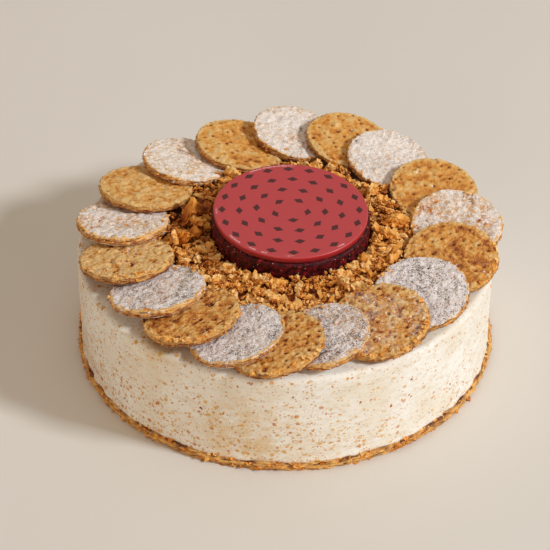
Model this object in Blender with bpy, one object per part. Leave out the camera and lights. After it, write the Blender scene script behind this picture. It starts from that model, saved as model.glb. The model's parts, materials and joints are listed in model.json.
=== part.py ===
"""A round ice cream cake on a thin pastry sheet.

The ice cream is one solid drum. On its top lie eighteen thin pastry rounds, plain and sugared by turns,
laid in a ring so that each one leans on the next, seen from above anticlockwise. Inside the ring is a heap
of pastry crumbs, and in the middle of the heap a disc of red fruit jelly carries a thin red plaque.

Metres, +Z up. The origin is the middle of the flat underside of the pastry sheet, and the side of the cake
that is seen first faces -Y.
"""

import math
import random

import bmesh
import bpy
from mathutils import Matrix, Vector, noise

# Driving dimensions
MM = 0.001
CAKE_RADIUS = 110 * MM
CAKE_TOP = 59.5 * MM
SHEET_RADIUS = 112.2 * MM
SHEET_THICKNESS = 4.4 * MM
GAP = 0.3 * MM

ROUND_RADIUS = 24.2 * MM
ROUND_THICKNESS = 4.2 * MM
RING_RADIUS = 87.5 * MM
FIRST_ROUND_DEG = 86

CENTRE = Vector((2.8 * MM, 0, 0))
JELLY_RADIUS = 41.9 * MM
JELLY_TOP = 77.0 * MM
PLAQUE_RADIUS = 40.7 * MM
PLAQUE_THICKNESS = 3.9 * MM
PLAQUE_SLOPE_X = -0.029
PLAQUE_SLOPE_Y = 0.010

HEAP_HEIGHT = 8.6 * MM
CLUMPS = 142
CLUMP_SIZE = (2.8 * MM, 4.8 * MM)

# How the rounds are laid, anticlockwise from the first: the angle from it to the next one in degrees, and
# in millimetres how far its middle stands out from the ring, how much wider it is and how much thicker.
ROUNDS = (
    (21, 3.5, -0.2, 0.0),
    (23, -4.5, 0.8, 0.2),
    (23, -3.0, -0.2, 0.0),
    (21, -3.0, 1.2, 0.1),
    (22, -1.0, 0.2, 0.2),
    (22, -2.0, 0.1, 0.2),
    (18, -5.0, 0.3, 0.0),
    (18, -3.0, 0.6, -0.1),
    (13, 1.0, -0.5, -0.6),
    (16, 4.0, 0.0, -1.0),
    (19, 0.0, -1.8, -0.2),
    (21, 0.0, 1.0, 0.1),
    (22, -1.5, 0.0, 0.2),
    (19, 1.5, 0.1, 0.0),
    (21, 3.5, -0.2, 0.0),
    (24, 1.5, -0.3, 0.3),
    (18, -0.5, -1.6, -0.2),
    (19, 3.5, -0.6, -0.1),
)

SEED = 16
GOLDEN_ANGLE = math.pi * (3 - math.sqrt(5))

# How finely the solids are faceted
DRUM_STEPS = 72
SHEET_STEPS = 80
ROUND_STEPS = 24
CENTRE_STEPS = 48
HEAP_STEPS = 80

COLOURS = {
    "ice_cream": ((0.83, 0.74, 0.60), 0.55),
    "pastry_sheet": ((0.52, 0.27, 0.09), 0.75),
    "plain_pastry": ((0.60, 0.34, 0.12), 0.70),
    "sugared_pastry": ((0.74, 0.69, 0.64), 0.90),
    "pastry_crumbs": ((0.55, 0.29, 0.09), 0.75),
    "fruit_jelly": ((0.10, 0.008, 0.012), 0.15),
    "red_plaque": ((0.55, 0.035, 0.045), 0.30),
}


def clear_scene():
    for obj in list(bpy.data.objects):
        bpy.data.objects.remove(obj)


def material(name):
    found = bpy.data.materials.get(name)
    if found:
        return found
    made = bpy.data.materials.new(name)
    made.use_nodes = True
    shader = made.node_tree.nodes["Principled BSDF"]
    colour, roughness = COLOURS[name]
    shader.inputs["Base Color"].default_value = (*colour, 1)
    shader.inputs["Roughness"].default_value = roughness
    shader.inputs["Metallic"].default_value = 0
    return made


def place(bm, name, finish):
    """Makes the bmesh an object with its material."""
    mesh = bpy.data.meshes.new(name)
    bm.to_mesh(mesh)
    bm.free()
    mesh.materials.append(material(finish))
    mesh.shade_smooth()
    mesh.set_sharp_from_angle(angle=math.radians(40))
    obj = bpy.data.objects.new(name, mesh)
    bpy.context.scene.collection.objects.link(obj)
    return obj


def turned(profile, steps):
    """A closed solid turned about Z from (radius, height) points that start and end on the axis."""
    bm = bmesh.new()
    points = [bm.verts.new((radius, 0, height)) for radius, height in profile]
    edges = [bm.edges.new(pair) for pair in zip(points, points[1:])]
    bmesh.ops.spin(
        bm, geom=points + edges, cent=(0, 0, 0), axis=(0, 0, 1), angle=math.tau, steps=steps, use_merge=True
    )
    bmesh.ops.remove_doubles(bm, verts=bm.verts, dist=0.01 * MM)
    bmesh.ops.recalc_face_normals(bm, faces=bm.faces)
    return bm


def polar(point):
    return math.hypot(point.x, point.y), math.atan2(point.y, point.x)


def unevenness(angle, height, seed, lobes=3.0):
    """Smooth noise, from about -1 to 1, that joins up round the axis."""
    return noise.noise(Vector((lobes * math.cos(angle) + seed, lobes * math.sin(angle), height * 60)))


def push_sideways(bm, amount, seed, lobes):
    """Moves every point off the axis in or out by up to amount, so that the wall is uneven."""
    for vert in bm.verts:
        radius, angle = polar(vert.co)
        if radius > 2 * MM:
            grow = 1 + amount / radius * unevenness(angle, vert.co.z, seed, lobes)
            vert.co.x *= grow
            vert.co.y *= grow


def pastry_sheet():
    """The thin flaky sheet that the ice cream stands on: flat below, its edge in ragged layers."""
    r, t = SHEET_RADIUS, SHEET_THICKNESS
    layers = (
        (0, 0),
        (r - 1.6 * MM, 0),
        (r - 0.3 * MM, 0.25 * t),
        (r - 1.0 * MM, 0.45 * t),
        (r + 0.2 * MM, 0.7 * t),
        (r - 0.9 * MM, t),
        (0, t),
    )
    bm = turned(layers, SHEET_STEPS)
    push_sideways(bm, 1.3 * MM, SEED, lobes=9)
    return place(bm, "pastry_sheet", "pastry_sheet")


def ice_cream():
    """The drum of ice cream, scraped nearly smooth, with a soft upper edge."""
    r, foot, top = CAKE_RADIUS, SHEET_THICKNESS + GAP, CAKE_TOP
    profile = (
        (0, foot),
        (r - 1.6 * MM, foot),
        (r - 0.2 * MM, foot + 2.5 * MM),
        (r, foot + 16 * MM),
        (r, foot + 34 * MM),
        (r, top - 3 * MM),
        (r - 0.4 * MM, top - 0.8 * MM),
        (r - 1.5 * MM, top),
        (0, top),
    )
    bm = turned(profile, DRUM_STEPS)
    push_sideways(bm, 0.9 * MM, SEED + 5, lobes=4)
    return place(bm, "ice_cream", "ice_cream")


class Round:
    """One thin pastry disc in the ring: where it lies, and how it leans."""

    def __init__(self, number, angle, outward, wider, thicker):
        wobble = random.Random(SEED * 100 + number)
        self.number = number
        self.sugared = number % 2 == 0
        self.angle = angle
        self.distance = RING_RADIUS + outward
        self.radius = ROUND_RADIUS + wider
        self.thickness = ROUND_THICKNESS + thicker
        self.warp = wobble.uniform(-0.25, 0.25) * MM
        self.turn = wobble.uniform(0, math.tau)
        self.lean = math.radians(10)

    def middle(self):
        return Vector((self.distance * math.cos(self.angle), self.distance * math.sin(self.angle)))

    def along(self):
        return Vector((-math.sin(self.angle), math.cos(self.angle)))

    def centre_height(self):
        """Its lower side lies on the ice cream."""
        low = self.radius * math.sin(self.lean) + self.thickness / 2 * math.cos(self.lean)
        return CAKE_TOP + GAP + low

    def top_points(self):
        """Places on its upper face, as (x, y) and height."""
        for share in (0.5, 0.75, 0.9, 1.0):
            for step in range(36):
                around = math.tau * step / 36
                out = share * self.radius * math.cos(around)
                side = share * self.radius * math.sin(around)
                spot = (
                    self.middle()
                    + Vector((math.cos(self.angle), math.sin(self.angle))) * out
                    + self.along() * side * math.cos(self.lean)
                )
                height = self.centre_height() + side * math.sin(self.lean)
                yield spot, height + self.thickness / 2 / math.cos(self.lean)


def lay_ring():
    """The eighteen rounds, each leaning just enough to clear the next one under its raised side."""
    rounds, angle = [], math.radians(FIRST_ROUND_DEG)
    for number, (step, outward, wider, thicker) in enumerate(ROUNDS):
        rounds.append(Round(number, angle, outward * MM, wider * MM, thicker * MM))
        angle += math.radians(step)
    clearance = 0.75 * MM
    for _ in range(12):
        for one, following in zip(rounds, rounds[1:] + rounds[:1]):
            needed = 0.0
            for spot, height in following.top_points():
                apart = spot - one.middle()
                if apart.length < one.radius:
                    reach = one.radius + apart.dot(one.along())
                    needed = max(needed, (height + clearance - CAKE_TOP - GAP) / max(reach, 8 * MM))
            one.lean = math.atan(needed)
    return rounds


def pastry_round(one):
    """A thin disc of baked pastry: rounded rim, blistered top, slightly bent."""
    r, half = one.radius, one.thickness / 2
    profile = (
        (0, -half),
        (r - 0.9 * MM, -half),
        (r, -0.2 * half),
        (r - 0.5 * MM, 0.75 * half),
        (r - 1.8 * MM, half),
        (0.55 * r, half),
        (0, half),
    )
    bm = turned(profile, ROUND_STEPS)
    push_sideways(bm, 0.8 * MM, SEED + 3 * one.number, lobes=4)
    for vert in bm.verts:
        if vert.co.z > 0.9 * half:
            blister = noise.noise(Vector((vert.co.x, vert.co.y, one.number * MM)) * 160)
            vert.co.z += 0.3 * MM * blister
        vert.co.z += one.warp * ((vert.co.x / r) ** 2 - 0.5)
    bm.transform(Matrix.Rotation(one.turn, 4, "Z"))
    name = "pastry_round_%02d" % (one.number + 1)
    obj = place(bm, name, "sugared_pastry" if one.sugared else "plain_pastry")
    middle = one.middle()
    obj.location = (middle.x, middle.y, one.centre_height())
    obj.rotation_euler = (one.lean, 0, one.angle)
    return obj


def slope(point):
    """How much higher the sloping plaque stands there than over the middle of the jelly."""
    return PLAQUE_SLOPE_X * (point.x - CENTRE.x) + PLAQUE_SLOPE_Y * (point.y - CENTRE.y)


def fruit_jelly():
    """The jelly disc in the middle, a little wider than the plaque on it, with a softly rounded edge."""
    r, foot, top = JELLY_RADIUS, CAKE_TOP + GAP, JELLY_TOP
    profile = (
        (0, foot),
        (r - 0.6 * MM, foot),
        (r, foot + 5 * MM),
        (r, top - 2.2 * MM),
        (r - 0.7 * MM, top - 0.6 * MM),
        (r - 2.4 * MM, top),
        (0, top),
    )
    bm = turned(profile, CENTRE_STEPS)
    push_sideways(bm, 0.6 * MM, SEED + 9, lobes=6)
    bmesh.ops.translate(bm, verts=bm.verts, vec=CENTRE)
    for vert in bm.verts:
        if vert.co.z > foot + 6 * MM:
            vert.co.z += slope(vert.co)
    return place(bm, "fruit_jelly", "fruit_jelly")


def red_plaque():
    """The thin red plaque with a rounded upper edge, lying on the sloping jelly."""
    r, t, round_off = PLAQUE_RADIUS, PLAQUE_THICKNESS, 0.5 * MM
    profile = (
        (0, 0),
        (r - 0.2 * MM, 0),
        (r, 0.2 * MM),
        (r, t - round_off),
        (r - 0.3 * round_off, t - 0.3 * round_off),
        (r - round_off, t),
        (0, t),
    )
    obj = place(turned(profile, CENTRE_STEPS), "red_plaque", "red_plaque")
    obj.location = CENTRE + Vector((0, 0, JELLY_TOP + GAP))
    obj.rotation_euler = (math.atan(PLAQUE_SLOPE_Y), -math.atan(PLAQUE_SLOPE_X), 0)
    return obj


def outer_reach(angle, rounds, clearance):
    """How far out the crumbs go in that direction, before they meet a pastry round."""
    nearest = RING_RADIUS
    for one in rounds:
        aside = one.distance * math.sin(angle - one.angle)
        ahead = one.distance * math.cos(angle - one.angle)
        reach = one.radius + clearance
        if abs(aside) < reach and ahead > 0:
            nearest = min(nearest, ahead - math.sqrt(reach**2 - aside**2))
    return nearest


def inner_reach(angle, clearance):
    """How close in the crumbs go in that direction, round the jelly, whose middle is off the axis."""
    aside = CENTRE.x * math.sin(angle)
    return CENTRE.x * math.cos(angle) + math.sqrt((JELLY_RADIUS + clearance) ** 2 - aside**2)


def heap_core(rounds):
    """The bare heap under the loose crumbs: a bumpy ring that fills the space between jelly and rounds."""
    foot, height = CAKE_TOP + GAP, HEAP_HEIGHT
    section = (
        (0, 0),
        (1, 0),
        (1, 0.5),
        (0.88, 0.78),
        (0.5, 0.95),
        (0.14, 1.05),
        (0, 0.85),
    )
    bm = bmesh.new()
    loop = [bm.verts.new((1 + share, 0, rise)) for share, rise in section]
    edges = [bm.edges.new(pair) for pair in zip(loop, loop[1:] + loop[:1])]
    bmesh.ops.spin(
        bm, geom=loop + edges, cent=(0, 0, 0), axis=(0, 0, 1), angle=math.tau, steps=HEAP_STEPS, use_merge=True
    )
    for vert in bm.verts:
        radius, angle = polar(vert.co)
        share, rise = radius - 1, vert.co.z
        inner, outer = inner_reach(angle, 0.7 * MM), outer_reach(angle, rounds, 0.9 * MM)
        bump = noise.noise(Vector((vert.co.x * 5, vert.co.y * 5, share * 2)))
        reach = inner + (outer - inner) * share
        tall = rise * (height + 1.6 * MM * bump)
        vert.co = (reach * math.cos(angle), reach * math.sin(angle), foot + tall)
    bmesh.ops.recalc_face_normals(bm, faces=bm.faces)
    return place(bm, "pastry_crumbs", "pastry_crumbs")


def clump(angle, chance, rounds, group):
    """One crumb: a chip of flaky pastry with few sides, half sunk in the heap. None if it would cross
    the jelly or a round."""
    size = chance.uniform(*CLUMP_SIZE)
    inner = inner_reach(angle, 0.8 * MM + size)
    outer = outer_reach(angle, rounds, 0.6 * MM) - 0.55 * size
    if outer <= inner:
        return None
    reach = chance.uniform(inner, outer)
    flatness = chance.uniform(0.35, 0.8)
    bm = bmesh.new()
    for _ in range(8):
        spot = Vector([chance.gauss(0, 1) for _ in range(3)]).normalized() * chance.uniform(0.8, 1)
        bm.verts.new((spot.x * size, spot.y * size * 0.8, spot.z * size * flatness))
    hull = bmesh.ops.convex_hull(bm, input=bm.verts)
    bmesh.ops.delete(bm, geom=list({*hull["geom_interior"], *hull["geom_unused"]}), context="VERTS")
    tumble = Matrix.Rotation(chance.uniform(-0.8, 0.8), 4, "X") @ Matrix.Rotation(
        chance.uniform(-0.8, 0.8), 4, "Y"
    )
    bm.transform(Matrix.Rotation(chance.uniform(0, math.tau), 4, "Z") @ tumble)
    share = (reach - inner) / (outer - inner)
    sink = chance.uniform(0.15, 0.55) * size * flatness
    height = CAKE_TOP + GAP + HEAP_HEIGHT * (1.03 - 0.22 * share) + 1.6 * MM - sink
    middle = Vector((reach * math.cos(angle), reach * math.sin(angle), height))
    bmesh.ops.translate(bm, verts=bm.verts, vec=middle)
    for vert in bm.verts:
        radius, around = polar(vert.co)
        if not inner_reach(around, 0.5 * MM) < radius < outer_reach(around, rounds, 0.5 * MM):
            bm.free()
            return None
    obj = place(bm, "crumb", "pastry_crumbs")
    bpy.context.scene.collection.objects.unlink(obj)
    group.objects.link(obj)
    return obj


def shells(bm):
    """The separate closed surfaces of a mesh, as lists of faces."""
    left, found = set(bm.faces), []
    while left:
        shell, edge_of_it = [], [left.pop()]
        while edge_of_it:
            face = edge_of_it.pop()
            shell.append(face)
            for near in {other for edge in face.edges for other in edge.link_faces} & left:
                left.remove(near)
                edge_of_it.append(near)
        found.append(shell)
    return found


def keep_largest_shell(mesh):
    """Drops the tiny pockets that can be shut in between crumbs."""
    bm = bmesh.new()
    bm.from_mesh(mesh)
    for shell in sorted(shells(bm), key=len)[:-1]:
        bmesh.ops.delete(bm, geom=shell, context="FACES")
    bm.to_mesh(mesh)
    bm.free()


def pastry_crumbs(rounds):
    """The heap of crumbs: the core with its clumps fused on by one Boolean union."""
    core = heap_core(rounds)
    group = bpy.data.collections.new("crumbs")
    bpy.context.scene.collection.children.link(group)
    chance = random.Random(SEED)
    made = tried = 0
    while made < CLUMPS:
        tried += 1
        if clump(tried * GOLDEN_ANGLE, chance, rounds, group):
            made += 1
    union = core.modifiers.new("join", "BOOLEAN")
    union.operation = "UNION"
    union.operand_type = "COLLECTION"
    union.collection = group
    bpy.context.view_layer.update()
    joined = bpy.data.meshes.new_from_object(core.evaluated_get(bpy.context.evaluated_depsgraph_get()))
    core.modifiers.remove(union)
    keep_largest_shell(joined)
    core.data = joined
    for obj in list(group.objects):
        bpy.data.objects.remove(obj)
    bpy.data.collections.remove(group)
    return core


def main():
    clear_scene()
    rounds = lay_ring()
    pastry_sheet()
    ice_cream()
    for one in rounds:
        pastry_round(one)
        print("round", one.number + 1, "leans", round(math.degrees(one.lean), 1))
    fruit_jelly()
    red_plaque()
    pastry_crumbs(rounds)


main()
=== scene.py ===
import json
import random
from functools import partialmethod
from math import atan2, cos, exp, hypot, pi, radians, sin, sqrt, tau

import bmesh
import bpy
import numpy as np
from mathutils import Matrix, Vector, noise

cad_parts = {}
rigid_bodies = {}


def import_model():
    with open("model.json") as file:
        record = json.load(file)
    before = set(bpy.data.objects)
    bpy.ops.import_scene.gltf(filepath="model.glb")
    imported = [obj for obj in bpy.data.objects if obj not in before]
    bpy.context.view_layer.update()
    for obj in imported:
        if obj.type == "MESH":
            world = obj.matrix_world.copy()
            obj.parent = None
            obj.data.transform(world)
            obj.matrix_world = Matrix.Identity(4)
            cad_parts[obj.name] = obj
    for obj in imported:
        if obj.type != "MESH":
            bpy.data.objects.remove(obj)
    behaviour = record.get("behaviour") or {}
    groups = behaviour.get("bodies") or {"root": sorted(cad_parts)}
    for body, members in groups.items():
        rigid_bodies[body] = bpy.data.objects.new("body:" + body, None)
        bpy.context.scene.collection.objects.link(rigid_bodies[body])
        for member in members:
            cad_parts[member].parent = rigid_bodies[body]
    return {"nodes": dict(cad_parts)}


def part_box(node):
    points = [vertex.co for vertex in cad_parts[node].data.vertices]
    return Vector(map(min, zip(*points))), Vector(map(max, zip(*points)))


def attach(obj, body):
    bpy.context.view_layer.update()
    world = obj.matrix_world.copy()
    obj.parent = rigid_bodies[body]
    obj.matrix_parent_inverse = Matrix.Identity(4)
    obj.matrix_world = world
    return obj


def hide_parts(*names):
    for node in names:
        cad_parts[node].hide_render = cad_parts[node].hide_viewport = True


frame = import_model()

mm = 0.001
seed = 5
noise.seed_set(seed)  # noise vectors are otherwise drawn anew in each run

for startup in [obj for obj in bpy.data.objects if obj.name in ("Cube", "Light", "Camera")]:
    bpy.data.objects.remove(startup)
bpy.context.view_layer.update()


class Wire:  # one output socket, so that sums of sockets read as plain Python
    def __init__(self, finish, out):
        self.finish, self.out = finish, out

    def maths(self, operation, *others):
        return self.finish.node("Math", {"operation": operation}, dict(enumerate((self, *others))))

    def reflected(self, operation, other):
        return self.finish.node("Math", {"operation": operation}, {0: other, 1: self})

    __add__ = __radd__ = partialmethod(maths, "ADD")
    __mul__ = __rmul__ = partialmethod(maths, "MULTIPLY")
    __sub__ = partialmethod(maths, "SUBTRACT")
    __rsub__ = partialmethod(reflected, "SUBTRACT")
    __truediv__ = partialmethod(maths, "DIVIDE")
    __rtruediv__ = partialmethod(reflected, "DIVIDE")
    __pow__ = partialmethod(maths, "POWER")
    above = partialmethod(maths, "GREATER_THAN")
    below = partialmethod(maths, "LESS_THAN")
    most = partialmethod(maths, "MAXIMUM")
    least = partialmethod(maths, "MINIMUM")
    size = partialmethod(maths, "ABSOLUTE")
    floor = partialmethod(maths, "FLOOR")
    part = partialmethod(maths, "FRACT")

    def ease(self, low, high):  # 0 at low, 1 at high, smooth between
        return self.finish.node("MapRange", {"interpolation_type": "SMOOTHSTEP"}, {0: self, 1: low, 2: high})


class Finish:  # a Principled material that is put together in code
    def __init__(self, name, fixed=None):
        self.material = bpy.data.materials.new(name)
        self.material.use_nodes = True
        self.tree = self.material.node_tree
        self.shader = self.tree.nodes["Principled BSDF"]
        for socket, value in (fixed or {}).items():
            self.shader.inputs[socket].default_value = value

    def plug(self, slot, value):  # a wire, a number, a vector, or a colour such as "c08040"
        if isinstance(value, Wire):
            self.tree.links.new(value.out, slot)
        else:
            slot.default_value = tint(value) if isinstance(value, str) else value

    def node(self, kind, settings=None, sockets=None, out=0):  # out may name several outputs
        made = self.tree.nodes.new("ShaderNode" + kind)
        for key, value in (settings or {}).items():
            if key == "stops":
                for spot, (place, colour) in enumerate(value):
                    stop = made.color_ramp.elements[spot] if spot < 2 else made.color_ramp.elements.new(place)
                    stop.position, stop.color = place, tint(colour)
            else:
                setattr(made, key, value)
        for key, value in (sockets or {}).items():
            self.plug(made.inputs[key], value)
        if isinstance(out, tuple):
            return [Wire(self, made.outputs[name]) for name in out]
        return Wire(self, made.outputs[out])

    def spot(self, stretch=(1, 1, 1), shift=(0, 0, 0)):  # the place on the piece, in metres
        here = self.node("TexCoord", out="Object")
        return self.node("Mapping", {}, {"Vector": here, "Scale": stretch, "Location": shift})

    def noise(self, grain, detail=2.0, rough=0.5, where=None, warp=0.0):  # grain is its size in mm
        sockets = {"Vector": where or self.spot(), "Scale": 1000 / grain, "Detail": detail}
        return self.node("TexNoise", {}, {**sockets, "Roughness": rough, "Distortion": warp})

    def cells(self, grain, where=None):  # how far from a cell's middle, and three numbers drawn for it
        sockets = {"Vector": where or self.spot(), "Scale": 1000 / grain}
        near, marks = self.node("TexVoronoi", {}, sockets, out=("Distance", "Color"))
        return near, *self.node("SeparateColor", {}, {0: marks}, out=(0, 1, 2))

    def mix(self, factor, first, second):
        return self.node("Mix", {"data_type": "RGBA"}, {0: factor, 6: first, 7: second}, out=2)

    def own(self, name):  # a number that the mesh carries
        return self.node("Attribute", {"attribute_name": name}, {}, out="Fac")

    def paint(self, colour, roughness, relief, strength, depth):  # depth in mm
        bump = self.node("Bump", {}, {"Height": relief, "Strength": strength, "Distance": depth * mm})
        for socket, value in {"Base Color": colour, "Roughness": roughness, "Normal": bump}.items():
            self.plug(self.shader.inputs[socket], value)
        return self.material


def tint(code):  # a colour as on screen, such as "c08040"
    parts = [int(code[at:at + 2], 16) / 255 for at in (0, 2, 4)]
    return (*[((part + 0.055) / 1.055) ** 2.4 if part > 0.04 else part / 12.92 for part in parts], 1)


def nodePoints(node):
    mesh = frame["nodes"][node].data
    points = np.empty(len(mesh.vertices) * 3)
    mesh.vertices.foreach_get("co", points)
    return points.reshape(-1, 3)


class Disc:  # where a disc-shaped node lies
    def __init__(self, node):
        self.node = node
        points = nodePoints(node)
        self.middle = (points.min(0) + points.max(0)) / 2
        away = points - self.middle
        up = np.linalg.eigh(np.cov(away.T))[1][:, 0]
        self.up = up * np.sign(up[2])
        out = np.array([self.middle[0], self.middle[1], 0])
        if np.linalg.norm(out) < 20 * mm:
            out = np.array([1.0, 0, 0])
        out -= self.up * (out @ self.up)
        self.out = out / np.linalg.norm(out)
        self.side = np.cross(self.up, self.out)
        rise = away @ self.up
        self.half = rise[rise > 0.6 * rise.max()].mean()
        self.radius = np.linalg.norm(away - np.outer(rise, self.up), axis=1).max() - 0.3 * mm
        self.angle = atan2(self.middle[1], self.middle[0])
        self.distance = hypot(self.middle[0], self.middle[1])

    def matrix(self):
        laying = np.eye(4)
        laying[:3] = np.column_stack((self.out, self.side, self.up, self.middle))
        return Matrix(laying.tolist())

    def under(self, point):  # how far a point is from the axis, and how high over the middle of the disc
        away = np.asarray(point) - self.middle
        rise = away @ self.up
        return np.linalg.norm(away - rise * self.up), rise


roundNodes = sorted(name for name in frame["nodes"] if name.startswith("pastry_round"))
rounds = [Disc(name) for name in roundNodes]
plaqueDisc = Disc("red_plaque")
jellyLow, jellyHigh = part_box("fruit_jelly")
creamLow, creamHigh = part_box("ice_cream")
sheetLow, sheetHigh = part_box("pastry_sheet")
creamTop = creamHigh.z
creamRadius = (creamHigh.x - creamLow.x) / 2
jellyMiddle = (jellyLow + jellyHigh) / 2
jellyRadius = (jellyHigh.x - jellyLow.x) / 2


def shown(mesh, material, nodes=()):  # makes a mesh a piece of the cake
    mesh.materials.append(material)
    mesh.shade_smooth()
    made = placed(mesh.name, mesh)
    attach(made, "root")
    if nodes:
        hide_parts(*nodes)
    print(made.name, len(mesh.polygons), "faces")


def placed(name, data):  # puts an object in the scene
    made = bpy.data.objects.new(name, data)
    bpy.context.scene.collection.objects.link(made)
    return made


def meshOf(bm, name):
    bmesh.ops.recalc_face_normals(bm, faces=bm.faces)
    mesh = bpy.data.meshes.new(name)
    bm.to_mesh(mesh)
    bm.free()
    return mesh


def turned(profile, steps, closed=False):  # a solid turned about Z from (radius, height) points
    bm = bmesh.new()
    points = [bm.verts.new((radius, 0, height)) for radius, height in profile]
    edges = [bm.edges.new(pair) for pair in zip(points, points[1:] + (points[:1] if closed else []))]
    bmesh.ops.spin(
        bm, geom=points + edges, cent=(0, 0, 0), axis=(0, 0, 1), angle=tau, steps=steps, use_merge=True
    )
    bmesh.ops.remove_doubles(bm, verts=bm.verts, dist=0.005 * mm)
    return bm


def between(first, last, count):
    return [first + (last - first) * step / count for step in range(1, count + 1)]


def softEdge(reach, top, bend, count):  # a rounded upper edge for a profile
    turns = between(0, pi / 2, count)
    return [(reach - bend * (1 - cos(turn)), top - bend * (1 - sin(turn))) for turn in turns]


def polar(point):
    return hypot(point.x, point.y), atan2(point.y, point.x)


def ways(turn, out=Vector((1, 0, 0)), side=Vector((0, 1, 0))):  # outwards, and onwards round the rim
    return out * cos(turn) + side * sin(turn), side * cos(turn) - out * sin(turn)


def rough(x, y, z, grain, octaves=1):  # smooth noise from -1 to 1, grain in metres
    spot = Vector((x, y, z)) / grain
    return noise.fractal(spot, 1.0, 2.0, octaves) if octaves > 1 else noise.noise(spot)


def bumps(x, y, z, size, octaves=1):  # size is how high and how wide they are
    return size[0] * rough(x, y, z, size[1], octaves)


def smooth(value, low, high):
    share = min(1, max(0, (value - low) / (high - low)))
    return share * share * (3 - 2 * share)


# the ice cream

iceCream = {
    "steps": 440,
    "rows": 60,
    "topRows": 26,
    "middle": 58 * mm,                 # within it the top is left flat
    "edge": 3.2 * mm,
    "girth": 110 * mm,                 # the radius at which its roughness is worked out
    "dents": (0.35 * mm, 24 * mm),     # how deep, how wide
    "scrape": (0.22 * mm, 4 * mm),
    "grit": (0.06 * mm, 2.2 * mm),
    "ripples": (0.22 * mm, 9 * mm),
    "colour": "f6f1e7",
    "shade": "ede2cf",
    "mottle": "d9c5a6",
    "stainAndShadowTint": "e6c283",
    "smudge": "cf8f3c",
    "crumbsAndShade": "74400f",               # the top under the rounds, painted dark brown for crumbs and painted shade
    "stainAndShadowPlaces": (((-22, -107, 20), 42), ((-64, -84, 60), 26)),  # where in mm, how far it reaches: a stain low in front, and painted shadow and crumbs under the rounds
    "specks": ("ca7616", "744018", "e0a430"),
    "rusty": "b84a10",
    "speckLayers": (  # cell in mm, speck's size in it, its shade, share of cells with one at top and foot
        (6.0, 0.25, 0, 0.3, 0.75), (4.4, 0.31, 2, 0.4, 0.9), (3.3, 0.33, 0, 0.35, 0.75),
        (1.9, 0.34, 1, 0.28, 0.4), (1.3, 0.38, 2, 0.36, 0.55),
    ),
    "flecks": 1300,
    "fleckSize": (0.5, 3.2, 0.8),      # from, to and mostly, in mm
}


def creamFinish():
    look = iceCream
    made = Finish("creamIce")
    aside, height = made.node("SeparateXYZ", {}, {0: made.spot()}, out=(0, 2))
    low = 1 - height.ease(0.006, 0.05)
    colour = made.mix(made.noise(26, 3).ease(0.35, 0.7), look["colour"], look["shade"])
    stainedAndShaded = 0.0
    # real stains, and at the second place a painted shadow with crumbs under the rounds
    for middle, reach in look["stainAndShadowPlaces"]:
        places = {0: made.spot(), 1: Vector(middle) * mm}
        away = made.node("VectorMath", {"operation": "DISTANCE"}, places, out="Value")
        stainedAndShaded = 1 - away.ease(0.15 * reach * mm, reach * mm) + stainedAndShaded
    stainedAndShaded = stainedAndShaded * made.noise(9, 4, 0.7).ease(0.36, 0.64)
    colour = made.mix(stainedAndShaded * 0.62, colour, look["stainAndShadowTint"])
    mottled = made.noise(3.4, 5, 0.75, made.spot((0.6, 0.6, 1))).ease(0.48, 0.68)
    colour = made.mix(mottled * 0.5, colour, look["mottle"])
    hazy = made.noise(1.7, 3, 0.7, made.spot((0.8, 0.8, 1.2))).ease(0.54, 0.68)
    colour = made.mix(hazy * (0.32 + low * 0.2), colour, look["stainAndShadowTint"])
    smudged = made.noise(2.8, 5, 0.75, made.spot((0.8, 0.8, 1.1))).ease(0.6, 0.7)
    smudged = smudged * made.noise(13, 3, 0.7).ease(0.46, 0.6)
    colour = made.mix(smudged * (0.25 + low * 0.35), colour, look["smudge"])
    wave = made.node("TexNoise", {}, {"Vector": made.spot(), "Scale": 900.0, "Detail": 3.0}, out="Color")
    sway = made.node("VectorMath", {"operation": "MULTIPLY"}, {0: wave, 1: (0.0021, 0.0021, 0.0021)})
    warped = made.node("VectorMath", {"operation": "ADD"}, {0: made.spot((1, 1, 1.15)), 1: sway})
    lit, dim = aside.ease(0.0, 0.08), 1 - aside.ease(-0.1, -0.04)  # painted light: the lit side shows fewer, paler and fainter specks, the dim side more
    drift = made.noise(12, 4, 0.7).ease(0.38, 0.62) * 1.5 + 0.25 + stainedAndShaded * 0.4
    drift = drift * (1 - lit * 0.38 + dim * 0.45)
    lumps = 0.0
    for grain, wide, shade, few, many in look["speckLayers"]:
        near, pick, tone, rusty = made.cells(grain, warped)
        here = pick.below((few + low * (many - few)) * drift)
        here = here * (1 - near.ease(wide * (0.2 + tone * 0.5), wide * (0.36 + tone * 0.82)))
        hue = made.mix((tone + lit * 0.25).least(1), look["specks"][shade], look["specks"][2])
        hue = made.mix(rusty.ease(0.66, 0.9) * 0.75, hue, look["rusty"])
        colour = made.mix(here * (1 - tone * (0.2 - dim * 0.15) - lit * 0.25), colour, hue)
        lumps = lumps + here
    reach = made.node("VectorMath", {"operation": "LENGTH"}, {0: made.spot((1, 1, 0))}, out="Value")
    # painted shade: the top under the rounds is painted dark brown, where crumbs lie and shade falls
    crumbsAndShade = height.above(creamTop - 1.5 * mm) * (1 - reach.ease(68 * mm, 80 * mm))
    colour = made.mix(crumbsAndShade * 0.9, colour, look["crumbsAndShade"])
    streaks = made.noise(1.2, 3, 0.6, made.spot((0.06, 0.06, 1)))
    relief = made.noise(1.3, 4, 0.65) * 0.5 + streaks * 0.8 + lumps * 0.3
    return made.paint(colour, 0.42 + made.noise(4, 2) * 0.25, relief, 0.5, 0.3)


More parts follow.
